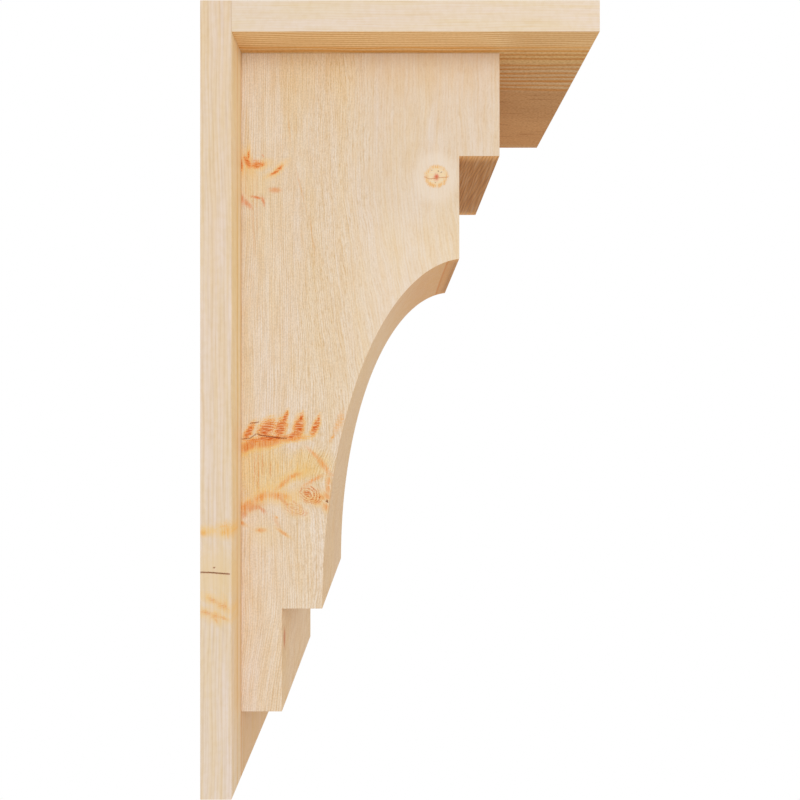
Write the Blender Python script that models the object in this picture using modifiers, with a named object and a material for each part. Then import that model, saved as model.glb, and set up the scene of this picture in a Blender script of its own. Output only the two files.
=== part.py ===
"""A wooden corbel bracket: a wall board, a shelf board butted to its front, and a shaped block in the corner.

The wall is the plane y = 0 and the bracket stands out from it along -Y, with +Z up. The origin is the centre
of the wall board's back. Lengths are in metres.
"""

import math

import bmesh
import bpy

# Block between the boards, stepped at its head and toe with a cove between
BLOCK_WIDTH = 0.1397
BLOCK_DEPTH = 0.2087
BLOCK_HEIGHT = 0.5326
HEAD_HEIGHT = 0.0832
HEAD_STEP = 0.0326
NECK_HEIGHT = 0.0832
FOOT_STEP = 0.0326
TOE_DEPTH = 0.0326
TOE_HEIGHT = 0.0832

# Cove, a quarter of an ellipse that stops short of level by this much at the neck
COVE_LEFT_AT_NECK = 0.0055
COVE_SEGMENTS = 40

# Boards, and how far they show past the block
WALL_BOARD_THICKNESS = 0.024
SHELF_BOARD_THICKNESS = 0.024
SIDE_REVEAL = 0.0254
SHELF_NOSING = 0.0718
WALL_BOARD_TAIL = 0.0527

# Fit and finish
GLUE_LINE = 0.0003
ARRIS = 0.0005
ARRIS_SEGMENTS = 2
CORNER_ANGLE = math.radians(30)
WELD_DISTANCE = 0.00001

# Bare planed softwood as linear colours, one for each piece
WALL_BOARD_COLOUR = (0.77, 0.60, 0.40, 1.0)
SHELF_BOARD_COLOUR = (0.76, 0.60, 0.41, 1.0)
BLOCK_COLOUR = (0.75, 0.57, 0.38, 1.0)
WOOD_ROUGHNESS = 0.62

# Overall sizes that follow from the block and what shows around it
BOARD_WIDTH = BLOCK_WIDTH + 2 * SIDE_REVEAL
WALL_BOARD_HEIGHT = SHELF_BOARD_THICKNESS + GLUE_LINE + BLOCK_HEIGHT + WALL_BOARD_TAIL
TOP = WALL_BOARD_HEIGHT / 2


def clear_scene():
    """Remove every object that the file opens with."""
    for obj in list(bpy.data.objects):
        bpy.data.objects.remove(obj)


def collection_named(name):
    """A new collection in the scene."""
    collection = bpy.data.collections.new(name)
    bpy.context.scene.collection.children.link(collection)
    return collection


def wood(name, colour):
    """Bare planed wood of one colour."""
    material = bpy.data.materials.new(name)
    material.use_nodes = True
    shader = material.node_tree.nodes["Principled BSDF"]
    shader.inputs["Base Color"].default_value = colour
    shader.inputs["Roughness"].default_value = WOOD_ROUGHNESS
    shader.inputs["Metallic"].default_value = 0.0
    material.diffuse_color = colour
    return material


def finish(obj):
    """Shade the round stretches smooth, keep the corners, and ease each corner as sandpaper leaves it."""
    obj.data.shade_smooth()
    obj.data.set_sharp_from_angle(angle=CORNER_ANGLE)
    bevel = obj.modifiers.new("eased_corners", "BEVEL")
    bevel.width = ARRIS
    bevel.segments = ARRIS_SEGMENTS
    bevel.limit_method = "ANGLE"
    bevel.angle_limit = CORNER_ANGLE
    bevel.harden_normals = True


def board(name, size, centre, colour, collection):
    """A plain board of this size, centred here."""
    bpy.ops.mesh.primitive_cube_add(size=1.0)
    obj = bpy.context.active_object
    obj.name = name
    obj.data.name = name
    obj.scale = size
    bpy.ops.object.transform_apply(location=False, rotation=False, scale=True)
    obj.location = centre
    obj.data.materials.append(wood(name + "_wood", colour))
    for home in list(obj.users_collection):
        home.objects.unlink(obj)
    collection.objects.link(obj)
    finish(obj)
    return obj


def wall_board(collection):
    """The board that is fixed to the wall, at full height."""
    size = (BOARD_WIDTH, WALL_BOARD_THICKNESS, WALL_BOARD_HEIGHT)
    centre = (0.0, -WALL_BOARD_THICKNESS / 2, 0.0)
    return board("wall_board", size, centre, WALL_BOARD_COLOUR, collection)


def shelf_board(collection):
    """The board on top, butted to the wall board's front and flush with its top end."""
    length = BLOCK_DEPTH + SHELF_NOSING
    size = (BOARD_WIDTH, length, SHELF_BOARD_THICKNESS)
    back = -(WALL_BOARD_THICKNESS + GLUE_LINE)
    centre = (0.0, back - length / 2, TOP - SHELF_BOARD_THICKNESS / 2)
    return board("shelf_board", size, centre, SHELF_BOARD_COLOUR, collection)


def cove_points(neck, neck_sole, foot, foot_sole):
    """The hollow from the neck's lower corner to the foot's: an ellipse, upright where it meets the foot.

    neck and foot are depths from the block's back. neck_sole and foot_sole are heights, negative below its top.
    """
    across = neck + COVE_LEFT_AT_NECK - foot
    level_share = COVE_LEFT_AT_NECK / across
    up = (neck_sole - foot_sole) / math.sqrt(1 - level_share**2)
    start = math.acos(level_share)
    points = []
    for step in range(COVE_SEGMENTS + 1):
        turn = start * (1 - step / COVE_SEGMENTS)
        points.append((foot + across * (1 - math.cos(turn)), foot_sole + up * math.sin(turn)))
    return points


def block_outline():
    """The block's side view as (depth, height) from its top back corner."""
    neck = BLOCK_DEPTH - HEAD_STEP
    foot = TOE_DEPTH + FOOT_STEP
    head_sole = -HEAD_HEIGHT
    neck_sole = head_sole - NECK_HEIGHT
    toe_sole = -BLOCK_HEIGHT
    foot_sole = toe_sole + TOE_HEIGHT
    head = [(0.0, 0.0), (BLOCK_DEPTH, 0.0), (BLOCK_DEPTH, head_sole), (neck, head_sole)]
    cove = cove_points(neck, neck_sole, foot, foot_sole)
    toe = [(TOE_DEPTH, foot_sole), (TOE_DEPTH, toe_sole), (0.0, toe_sole)]
    return head + cove + toe


def flat_outline(name, outline, width):
    """A flat closed outline, thickened both ways to this width."""
    curve = bpy.data.curves.new(name, "CURVE")
    curve.dimensions = "2D"
    curve.fill_mode = "BOTH"
    curve.extrude = width / 2
    spline = curve.splines.new("POLY")
    spline.points.add(len(outline) - 1)
    for point, (across, up) in zip(spline.points, outline):
        point.co = (across, up, 0.0, 1.0)
    spline.use_cyclic_u = True
    return bpy.data.objects.new(name, curve)


def as_mesh(obj, name, collection):
    """The curve's solid as a mesh in the same place, with its caps welded to its sides."""
    collection.objects.link(obj)
    evaluated = obj.evaluated_get(bpy.context.evaluated_depsgraph_get())
    mesh = bpy.data.meshes.new_from_object(evaluated)
    solid = bmesh.new()
    solid.from_mesh(mesh)
    bmesh.ops.remove_doubles(solid, verts=solid.verts, dist=WELD_DISTANCE)
    solid.to_mesh(mesh)
    solid.free()
    matrix = obj.matrix_world.copy()
    bpy.data.objects.remove(obj)
    result = bpy.data.objects.new(name, mesh)
    result.data.name = name
    result.matrix_world = matrix
    collection.objects.link(result)
    return result


def corbel_block(collection):
    """The shaped block in the corner: one solid, its outline carried across its width."""
    side = flat_outline("block_outline", block_outline(), BLOCK_WIDTH)
    # The outline's depth runs out from the wall, and its height runs up.
    side.rotation_euler = (math.pi / 2, 0.0, -math.pi / 2)
    back = -(WALL_BOARD_THICKNESS + GLUE_LINE)
    top = TOP - SHELF_BOARD_THICKNESS - GLUE_LINE
    side.location = (0.0, back, top)
    obj = as_mesh(side, "corbel_block", collection)
    obj.data.materials.append(wood("corbel_block_wood", BLOCK_COLOUR))
    finish(obj)
    return obj


def main():
    clear_scene()
    collection = collection_named("wooden_corbel_bracket")
    wall_board(collection)
    shelf_board(collection)
    corbel_block(collection)


main()
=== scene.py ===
"""Looks of the wooden corbel bracket: bare planed softwood with its grain, end grain, knots and checks.

Shapes are in metres. The finishes work in millimetres: out is the distance from the wall, along -Y, up
is the height, along +Z, and across is X. The side that shows in the photo, the near side, faces -X.
"""

import math
from collections import namedtuple
from functools import reduce

import bmesh
import bpy
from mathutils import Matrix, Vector


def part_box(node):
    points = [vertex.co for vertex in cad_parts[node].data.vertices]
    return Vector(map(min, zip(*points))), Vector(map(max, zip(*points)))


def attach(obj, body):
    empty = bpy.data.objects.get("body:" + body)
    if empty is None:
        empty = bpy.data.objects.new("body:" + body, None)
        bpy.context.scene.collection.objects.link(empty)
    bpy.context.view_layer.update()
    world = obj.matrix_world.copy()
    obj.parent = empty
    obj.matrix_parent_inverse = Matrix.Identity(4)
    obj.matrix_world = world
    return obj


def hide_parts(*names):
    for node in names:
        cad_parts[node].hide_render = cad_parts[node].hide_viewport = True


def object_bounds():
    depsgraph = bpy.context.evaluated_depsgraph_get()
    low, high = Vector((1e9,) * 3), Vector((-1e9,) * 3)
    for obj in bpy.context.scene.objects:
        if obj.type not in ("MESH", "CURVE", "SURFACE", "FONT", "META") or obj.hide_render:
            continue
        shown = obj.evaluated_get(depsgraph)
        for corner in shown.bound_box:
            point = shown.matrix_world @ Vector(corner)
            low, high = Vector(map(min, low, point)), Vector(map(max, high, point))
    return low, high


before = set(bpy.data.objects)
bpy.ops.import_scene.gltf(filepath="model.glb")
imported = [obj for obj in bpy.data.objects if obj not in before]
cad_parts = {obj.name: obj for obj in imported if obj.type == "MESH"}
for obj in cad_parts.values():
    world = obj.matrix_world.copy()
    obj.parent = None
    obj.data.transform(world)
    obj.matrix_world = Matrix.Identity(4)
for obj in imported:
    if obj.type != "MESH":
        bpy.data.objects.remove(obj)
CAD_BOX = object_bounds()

MM = 0.001

# A tone that multiplies the wood's colour, and the values of its pattern at which it begins and is full
Tone = namedtuple("Tone", "colour none full")

# Camera: level, square to the near side, opposite the middle of the wall board's height
CAMERA_TO_BOARDS = 412.7 * MM
CAMERA_OUT = 152.4 * MM
FOCAL_LENGTH = 24.37
FILM_WIDTH = 36
NEAR_CLIP = 10 * MM

# Studio: an even white room, a large soft lamp beside the camera, and a pale floor below
ROOM_UP = 0.71
ROOM_DOWN = 0.77
ROOM_EDGE = 0.3
BACKDROP = 1
LAMP_SIZE = 2
LAMP_POWER = 20
LAMP_TURN = math.radians(-62)
LAMP_LIFT = math.radians(14)
LAMP_DISTANCE = 2.4
LAMP_TARGET = Vector((0, -0.15, 0))
FLOOR_LEVEL = -0.95
FLOOR_RADIUS = 0.72
FLOOR_SIDES = 64

# Joinery
ARRIS = 0.35 * MM
ARRIS_SEGMENTS = 2
HAIRLINE = 0.05 * MM
WELD = 0.01 * MM
CORNER_ANGLE = math.radians(30)
SMOOTH_ANGLE = math.radians(50)
ROUND = 0.5

# Block: its steps as a share of its depth and height, and its cove, which stops short of level
STEP_SHARE = 5 / 32
COVE_LEFT_AT_NECK = 5.5 * MM
COVE_SEGMENTS = 60

# Checks in millimetres: how far outside the face a cutter starts, and each kind's width and depth
CUTTER_PROUD = 0.6
WIDE_CHECK = (0.85, 4)
FINE_CHECK = (0.5, 0.4)
HAIR_CHECK = (0.35, 0.25)
TRACE_CHECK = (0.25, 0.15)

# How far a check's end points lie from where it would close, as a share of the way between two points
CHECK_END = 0.35

# Checks as (out, up) on the near side, in millimetres
BLOCK_CHECK = ((37, -27.4), (40.1, -28.7), (46.4, -29.4), (54.4, -30.7), (60.4, -30.9))
LOWER_CHECK = ((24.6, -31.6), (31.2, -30.9), (33.6, -29.2), (36.2, -27.4))
SPIKE_CHECK = ((31.2, -18.9), (37.9, -17.9))
KNOT_CHECK = ((172.3, 180.5), (175.9, 178.9), (180.5, 179.2), (183.7, 179.8), (190.9, 180.3))
BOARD_CHECK = ((0.2, -131.3), (8, -131.5), (15, -132.1), (22.2, -132.6))


def seen(red, green, blue):
    """A colour as a screen shows it, 0 to 255, as the linear colour that a shader takes."""
    linear = []
    for channel in (red, green, blue):
        share = channel / 255
        if share <= 0.04045:
            linear.append(share / 12.92)
        else:
            linear.append(((share + 0.055) / 1.055) ** 2.4)
    return (*linear, 1.0)


WHITE = (1, 1, 1, 1)

# Relief of the planed surface
BUMP_STRENGTH = 0.25
BUMP_DEPTH = 0.2 * MM

# Knot wood, as it shows on the near sides
ORANGE = seen(236, 144, 54)
RUST = seen(208, 86, 20)
AMBER = seen(241, 196, 116)
HONEY = seen(236, 205, 146)
PITCH = seen(156, 78, 38)
# Check walls: partly stained wood, partly painted shade in the narrow crack
CHECK_WALL_STAIN_AND_SHADE = seen(160, 66, 30)

# Marks on the near sides are ovals, each given by its two tips as (out, up) and its width

# Block's big spike knot
FLAMES = (
    ((26, -33), (34.4, -18.2), 5.6),
    ((38.6, -31), (50.4, -16), 12),
    ((53, -31.5), (58.6, -14.5), 9.6),
    ((57.4, -21), (61.4, -8.8), 3.6),
    ((68.6, -31.5), (72.2, -13), 8.8),
    ((71.2, -19), (73.6, -9.6), 3),
    ((61.6, -32), (68.6, -26), 5),
    ((28, -33), (66, -29.2), 4.4),
    ((80.8, -29.5), (87, -14.5), 5.6),
    ((85.4, -20), (87.6, -11.2), 2.8),
)
PALE_FLAMES = (((99.4, -27.5), (106.6, -9.5), 5.8), ((95.8, -34.5), (100, -26), 2.8))
PALE_FLAME_COLOUR = seen(236, 160, 58)
UNDER_SPLIT = (
    ((20, -42), (40, -31.5), 8.6),
    ((33, -37.6), (60, -31), 8),
    ((54, -33.2), (78, -29.6), 4.6),
)
KNOT_BODY = (((4, -58), (76, -54), 50), ((50, -52), (104, -54), 32))
KNOT_BODY_TONE = (1.01, 0.96, 0.75, 1)
KNOT_THREAD_TONE = (1, 0.85, 0.62, 1)
BODY_LINES = (
    ((34.8, -40), (35, -70), 0.9),
    ((37.6, -36), (37.8, -80), 1),
    ((41.1, -38), (41.4, -64), 0.8),
    ((47.4, -50), (47.6, -63), 1.1),
)
BODY_LINE_COLOUR = seen(222, 140, 66)
FRINGE = (
    ((20, -89), (36, -81.6), 6.2),
    ((33, -82.8), (46, -75), 6.4),
    ((44, -76.4), (62, -78.6), 6),
    ((52, -72.6), (66, -60.6), 3.4),
    ((61, -63), (73, -59), 3.8),
)
LOWER_FRINGE = (
    ((19, -95.6), (29, -89.6), 7),
    ((24, -90), (42, -84.6), 5.6),
    ((36, -84), (44, -91.6), 3.4),
    ((54, -78.6), (63, -86), 3),
)
LOWER_FRINGE_COLOUR = seen(222, 132, 74)
SLANTS = (
    ((77.6, -38.4), (88, -49.5), 2.8),
    ((84.6, -44.6), (95.4, -60.2), 4.6),
    ((74, -69.6), (90, -60.6), 3),
)
DAPPLES = (
    ((36.6, -105.2), (43.2, -105.4), 3),
    ((52, -94.4), (53.6, -96), 1.4),
    ((54, -104.6), (62, -110.4), 2),
    ((94.6, -62), (94, -69.6), 3.2),
    ((93.6, -68.6), (94.6, -76), 3.2),
    ((91.6, -74.6), (94.6, -80.6), 4),
    ((85.4, -77), (92, -79.6), 3.6),
    ((91.4, -83.6), (93, -89.6), 4.2),
    ((79.4, -79.4), (88, -83.6), 4.4),
    ((20, -96.6), (27, -101), 2.6),
)
DAPPLE_COLOUR = seen(230, 134, 50)
DAPPLE_HALO = seen(237, 194, 128)
CHIP = (((92.8, -80.4), (94, -83.4), 1.9),)
CHIP_COLOUR = seen(136, 72, 16)
BLUSHES = (((49.6, -91.6), (55.8, -106), 4.6), ((93, -57.4), (99, -62.6), 5))
BLUSH_COLOUR = seen(230, 184, 140)
LOW_HONEY = (((26, -107), (58, -112), 30),)
EYE_KNOTS = (((70.6, -74), (88.4, -79.4), 12), ((59.4, -84.6), (76, -92.6), 9.6))
ARC_COLOUR = seen(212, 104, 30)

# Block's small spike knot, near its top back corner
SMALL_FLAMES = (
    ((23.6, 195.8), (24, 185.4), 3.2),
    ((26.6, 197.6), (31.4, 187.4), 4.4),
    ((30.2, 202), (29.6, 194), 1.6),
    ((31.6, 188.4), (42.6, 191), 4.2),
    ((47, 181.8), (54, 185.6), 2.4),
    ((50.8, 183.2), (57.4, 190), 3),
)
SMALL_FRECKLES = (((22, 193.4), (50, 190), 16), ((38.6, 200), (44.4, 195), 4))
SMALL_FRECKLE_COLOUR = seen(226, 120, 42)
SMALL_BODY = (((10, 173), (54, 173), 38),)
SMALL_THREADS = (
    ((33.4, 192), (34.2, 110), 1.3),
    ((36.6, 190), (37.2, 126), 1.2),
    ((28, 191), (27.4, 156), 1.1),
    ((67.5, 191), (76.8, 152), 2),
    ((61.6, 234), (64.2, 204), 1.6),
    ((78.4, 154), (84.6, 110), 1.8),
    ((31.9, 158), (36.2, 114), 1.6),
)
SMALL_THREAD_COLOUR = seen(221, 168, 108)
SMALL_LOWER = (
    ((23.2, 167), (25.8, 158), 4.4),
    ((24.8, 163), (32, 155.6), 4),
    ((31.2, 164.8), (41.6, 162.8), 2.2),
    ((40.8, 164.6), (42.8, 156.8), 2),
)
SMALL_LOWER_COLOUR = seen(222, 118, 50)
SMALL_BLUSH = (((46.6, 169.9), (56, 169.9), 4.4),)
SMALL_BLUSH_COLOUR = seen(227, 156, 100)

# Block's round knot
ROUND_KNOT = (((172.2, 181.4), (191.4, 180.6), 18.4),)
ROUND_INSIDE_COLOUR = seen(241, 212, 160)
RIM_COLOUR = seen(233, 170, 90)
ROUND_KNOT_LIPS = seen(214, 150, 104)
ROUND_KNOT_HALO = (((181, 202), (182, 158), 36),)
ROUND_HALO_COLOUR = seen(239, 223, 204)
KNOT_HEART = (((181.2, 177.4), (182.4, 183.2), 4.2),)
HEART_COLOUR = seen(212, 88, 52)
HEART_HALO_COLOUR = seen(226, 138, 96)
KNOT_SPECKS = (
    ((177.6, 186.4), (178.8, 185.4), 1.2),
    ((182.6, 185.6), (184, 184.6), 1.2),
    ((184.6, 183.6), (186.6, 185), 1.3),
    ((180.6, 175.8), (181.8, 176.4), 1.2),
)
SPECK_COLOUR = seen(150, 104, 78)

# Wall board's knot wood, where a knot runs out through its edge
BOARD_STAINS = (((-8, -99.5), (18, -99.8), 10), ((8, -99.6), (32, -99), 15))
BOARD_HEARTS = (
    ((20, -92.6), (21.6, -105), 5.6),
    ((15, -96.4), (22, -96), 3.4),
    ((15, -100.8), (23, -101), 4.6),
    ((-3, -101), (6, -101.6), 4.6),
)
BOARD_HEART_COLOUR = seen(237, 168, 68)
BOARD_TAN = (((-14, -139), (38, -138.6), 13), ((-22, -134), (46, -134), 56))
BOARD_TAN_COLOUR = seen(234, 204, 152)
BOARD_STREAKS = (
    ((5, -150), (15, -155.6), 4.6),
    ((12, -153.6), (21.6, -160.4), 5.6),
    ((18.6, -152.6), (20.6, -162), 3),
    ((-2, -160.6), (10.6, -163.8), 4.6),
    ((6.6, -162.8), (17, -166.6), 6.4),
    ((10.6, -165.8), (14, -170), 3),
    ((13, -164.4), (22.4, -168), 3),
)
BOARD_STREAK_COLOUR = seen(226, 142, 76)
BOARD_SPECK = (((9.4, -127.5), (12, -127.8), 1.7),)
BOARD_SPECK_COLOUR = seen(150, 84, 52)
BOARD_LIPS = seen(150, 70, 42)

# Small knot on the toe's front, as (across, up)
TOE_KNOT = ((-60.8, -189), (-60, -204), 6.6)

# Ring that shows as a line on the cove, as its distance from the wall
COVE_RING = 191

# Every wood: where in a ring its late wood begins, is full and starts to end
LATE_BEGINS = 0.45
LATE_FULL = 0.9
LATE_ENDS = 0.93
RING_BAND_LUMPS = (2.2, 1, 1)
BLOTCH = (-0.35, 0.35)

# Planed surface, and how far late wood and fibres change it
ROUGHNESS = 0.66
GLOSS = 0.25
LATE_SMOOTHER = 0.1
FIBRE_SMOOTHER = 0.05
LATE_RELIEF = 0.6

# Knots: how deep they go, and the share of that at which they are full
BLOCK_KNOT_DEPTH = 14
BOARD_KNOT_DEPTH = 22
SPLIT_DEPTH = 6
FULL_TO = 0.4

# Knots: the lumps of the patterns in them, and how far or over what range each works
RAGGED_LUMPS = (3, 3, 3)
RAGGED_BY = 0.9
GRIT_LUMPS = (0.8, 0.8, 1)
GRIT = 0.6
HATCH_LUMPS = (5, 0.75, 1)
HATCH = (-0.25, 0.2)
THREAD_LUMPS = (0.8, 12, 1)
THREADS = (-0.15, 0.3)
EYE_LUMPS = (9, 6, 6)
EYE_STIR = 3.4
EYE_ARCS = 19
ROUND_LUMPS = (5, 5, 5)
ROUND_STIR = 1.6
RIM_AT = 0.86

# Knots: where the band under the split deepens and the eye knots grow strong, out from the wall
DEEP_BAND = (66, 34)
STRONG_EYE = (68, 80)

# Block's grain: how it leans at the top and the toe, and is drawn in beside the big knot
LEAN_UP = (-60, 200)
LEAN_OUT = (50, 110)
LEAN = 26
TOE_LEAN_BELOW = -175
TOE_LEAN = 0.12
KNOT_BELOW_MIDDLE = 64
DRAWN_IN_REACH = 30
DRAWN_IN_OUT = (62, 86)
DRAWN_IN = 8

# Block's grain: where it loosens and where it is lively, out from the wall
LOOSE_GRAIN = (40, 95)
LIVELY_GRAIN = (150, 85)

# Block's rings: where their pith lies, where they are counted from, and how fast they come
PITH_ACROSS = 90
PITH_OUT = 1500
RINGS_COUNTED_FROM = 450
RINGS_PER_MM = 0.063
RINGS_CLOSING = 0.00057

# Block's patterns: the size of their lumps along X, Y and Z, and how far two of them sway the grain
BLOCK_SWAY_LUMPS = (160, 60, 220)
BLOCK_SWAY = 9
BLOCK_WANDER_LUMPS = (90, 12, 44)
BLOCK_RIPPLE_LUMPS = (60, 5, 13)
BLOCK_FIBRE_LUMPS = (1.2, 1.2, 30)
BLOCK_DASH_LUMPS = (1, 1, 6)
BLOCK_BLOTCH_LUMPS = (50, 35, 130)
BLOCK_STREAK_LUMPS = (4, 4, 60)
BLOCK_MOTTLE_LUMPS = (9, 9, 16)
BLOCK_PORE_LUMPS = (1, 1, 1.4)
BLOCK_RAY_LUMPS = (40, 1.3, 1.3)

# Block's sides: ground colours, and the tones over them
BLOCK_PALE = seen(243, 228, 216)
BLOCK_CREAM = seen(243, 226, 206)
BLOCK_LATE = (0.92, 0.83, 0.69, 1)
BLOCK_STREAK = Tone((0.99, 0.95, 0.87, 1), -0.3, 0.4)
BLOCK_FIBRE = Tone((0.93, 0.88, 0.80, 1), -0.1, 0.35)
BLOCK_DASH = Tone((0.91, 0.84, 0.73, 1), 0, 0.35)
BLOCK_PORE = Tone((0.915, 0.91, 0.90, 1), -0.25, 0.25)
BLOCK_MOTTLE = Tone((0.98, 0.95, 0.90, 1), -0.3, 0.5)
# Painted shade: the block's sides grow darker and warmer towards the top
BLOCK_UPPER_PAINTED_SHADE = Tone((0.95, 0.92, 0.84, 1), -260, 260)
# Painted shade: darker and warmer at the block's top, beneath the shelf
BLOCK_SHADE_BELOW_SHELF = Tone((0.99, 0.96, 0.90, 1), 215, 285)

# Block's upper back and its head, as ranges out and up, and their tones
BACK_OUT = (60, 30)
BACK_UP = (-60, 0)
BLOCK_HIGH_BACK = (1, 1.04, 1.10, 1)
HEAD_OUT = (100, 135)
HEAD_UP = (120, 170)
BLOCK_HIGH_FRONT = (0.95, 0.945, 0.96, 1)

# Block's fronts and undersides: how far they turn that way, and their tones, which are painted shade,
# darker and warmer
BLOCK_FACING_FRONT = (-0.3, -0.95)
BLOCK_FRONT_SHADE = (0.94, 0.81, 0.62, 1)
TOE_FRONT = (60, 58)
TOE_KNOT_COLOUR = seen(206, 128, 84)
BLOCK_FACING_DOWN = (-0.35, -0.95)
BLOCK_UNDERSIDE_SHADE = (0.95, 0.69, 0.42, 1)
PAST_COVE_RING = Tone((0.94, 0.84, 0.72, 1), -0.5, 1)
COVE_RING_COLOUR = seen(216, 140, 70)

# Block's end grain: how level a face has to be to show it, its colours, and its painted shade, darker
# in the middle than near the sides
BLOCK_END = (0.97, 0.995)
END_GRAIN = seen(242, 183, 116)
END_PAINTED_SHADE = (0.62, 0.56, 0.50, 1)
END_SHADE_ACROSS = (70, 56)
UNDER_HEAD = (80, 120)
END_LATE = (0.78, 0.72, 0.66, 1)
END_RAY = seen(214, 176, 138)
END_BETWEEN_RAYS = Tone((0.84, 0.77, 0.69, 1), 0, -0.4)

# Wall board's rings, and its patterns' lumps
BOARD_PITH_ACROSS = 60
BOARD_PITH_BEHIND = 90
BOARD_RING = 1.7
BOARD_SWAY_LUMPS = (60, 60, 260)
BOARD_SWAY = 5
BOARD_WANDER_LUMPS = (10, 10, 90)
BOARD_WANDER = 1.2
BOARD_FIBRE_LUMPS = (1.1, 1.1, 34)
BOARD_BLOTCH_LUMPS = (18, 12, 110)
BOARD_STREAK_LUMPS = (4, 3, 80)
BOARD_MOTTLE_LUMPS = (5, 5, 6)

# Wall board's colours and tones. The shelf board has the same mottle
BOARD_PALE = seen(236, 218, 203)
BOARD_CREAM = seen(235, 216, 195)
BOARD_LATE = (0.92, 0.87, 0.80, 1)
BOARD_STREAK = Tone((0.99, 0.95, 0.84, 1), -0.3, 0.3)
BOARD_FIBRE = Tone((0.94, 0.92, 0.89, 1), -0.1, 0.45)
# Painted shade: the wall board grows a little darker and warmer towards the top
BOARD_UPPER_PAINTED_SHADE = Tone((0.98, 0.95, 0.90, 1), -200, 280)
BOARD_MOTTLE = Tone((0.98, 0.965, 0.92, 1), -0.2, 0.3)
BOARD_END_GRAIN = seen(224, 184, 142)
BOARD_END_LATE = (0.84, 0.76, 0.68, 1)

# How far a board's face or end turns the way that gives it its own tone
BOARD_FACING = (-0.5, -0.95)
BOARD_END = (0.6, 0.95)

# Wall board's front: its painted shade, darker and warmer, and the paler strip of painted light past
# the block
BOARD_FRONT_SHADE = (0.90, 0.72, 0.50, 1)
FRONT_STRIP = (-64, -74)
STRIP_UP = (-240, 0)
STRIP_LIGHT_LOW = (1, 0.93, 0.80, 1)
STRIP_LIGHT_HIGH = (1.04, 1.04, 0.90, 1)

# Wall board's front: places across of its late-wood lines, the last one along the joint
FRONT_LINES = (-80.5, -70.2)
FRONT_LINE = Tone((0.96, 0.86, 0.70, 1), 2.6, 0.8)
FRONT_JOINT = Tone((0.94, 0.83, 0.70, 1), 2.2, 0.6)

# Shelf board's rings: their pith, the fine ones' thickness and where these show, by radius
SHELF_PITH_ACROSS = 38
SHELF_PITH_UP = 130.8
SHELF_RING = 1.5
SHELF_FINE = (184, 188)

# Radii of the strong rings on its underside
SHELF_RINGS = (160.6, 162.9, 165.3, 167.8, 170.4, 173.1, 175.9, 180.3, 183.3, 186.3, 188.9)

# Shelf board's patterns: the size of their lumps
SHELF_SWAY_LUMPS = (50, 200, 50)
SHELF_SWAY = 2.4
SHELF_WANDER_LUMPS = (9, 60, 9)
SHELF_WANDER = 0.8
SHELF_FIBRE_LUMPS = (1, 30, 1)
SHELF_STREAK_LUMPS = (3, 60, 3)
SHELF_BLOTCH_LUMPS = (20, 110, 14)
SHELF_MOTTLE_LUMPS = (6, 5, 5)
SHELF_GRIT_LUMPS = (1.2, 2.6, 1.2)
SHELF_FLECK_LUMPS = (1.7, 44, 1.7)

# Shelf board's colours and tones
SHELF_PALE = seen(234, 216, 198)
SHELF_CREAM = seen(233, 214, 188)
SHELF_LATE = (0.96, 0.90, 0.82, 1)
SHELF_END = (0.92, 0.82, 0.72, 1)
SHELF_STREAK = Tone((0.99, 0.97, 0.90, 1), -0.2, 0.4)
SHELF_FIBRE = Tone((0.97, 0.94, 0.90, 1), -0.1, 0.45)

# Shelf board's underside: its ground and the plain wood inside the rings, deep browns that are partly
# the wood's own and partly painted shade, and its pale near edge of painted light
SHELF_GREY = seen(218, 182, 136)
SHELF_GOLD = seen(225, 182, 120)
SHELF_GOLDEN = (172, 180)
SHELF_EDGE = (-67, -77)
# Painted light: the underside is paler along its near edge, less so towards the nose
SHELF_EDGE_PAINTED_LIGHT = seen(251, 216, 163)
SHELF_NOSE = (225, 250)
SHELF_NOSE_TONE = (0.91, 0.84, 0.75, 1)
SHELF_PLAIN = (162, 158)
PLAIN_NEAR = seen(204, 154, 101)
PLAIN_FAR = seen(212, 156, 99)
PLAIN_ACROSS = (0, 80)
SHELF_RING_COLOUR = seen(208, 142, 66)
EDGE_RING_PAINTED_LIGHT = seen(236, 174, 92)
FINE_RING_COLOUR = seen(216, 156, 84)
SHELF_FLECK = Tone((0.82, 0.74, 0.66, 1), 0.24, 0.44)
SHELF_BLOTCH = Tone((0.93, 0.90, 0.86, 1), -0.3, 0.5)
SHELF_GRIT = Tone((0.85, 0.78, 0.68, 1), -0.2, 0.3)

# Floor
FLOOR_LUMPS = (90, 90, 90)
FLOOR_PALE = seen(233, 232, 230)
FLOOR_GREY = seen(222, 221, 219)
FLOOR_ROUGHNESS = 0.8


class Value:
    """A number that varies over a surface. Arithmetic on it adds Math nodes to its finish."""

    def __init__(self, finish, socket):
        self.finish = finish
        self.socket = socket

    def __add__(self, other):
        return self.finish.maths("ADD", self, other)

    def __sub__(self, other):
        return self.finish.maths("SUBTRACT", self, other)

    def __rsub__(self, other):
        return self.finish.maths("SUBTRACT", other, self)

    def __mul__(self, other):
        return self.finish.maths("MULTIPLY", self, other)

    def __truediv__(self, other):
        return self.finish.maths("DIVIDE", self, other)

    def __rtruediv__(self, other):
        return self.finish.maths("DIVIDE", other, self)

    def __abs__(self):
        return self.finish.maths("ABSOLUTE", self)

    __radd__ = __add__
    __rmul__ = __mul__


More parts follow.
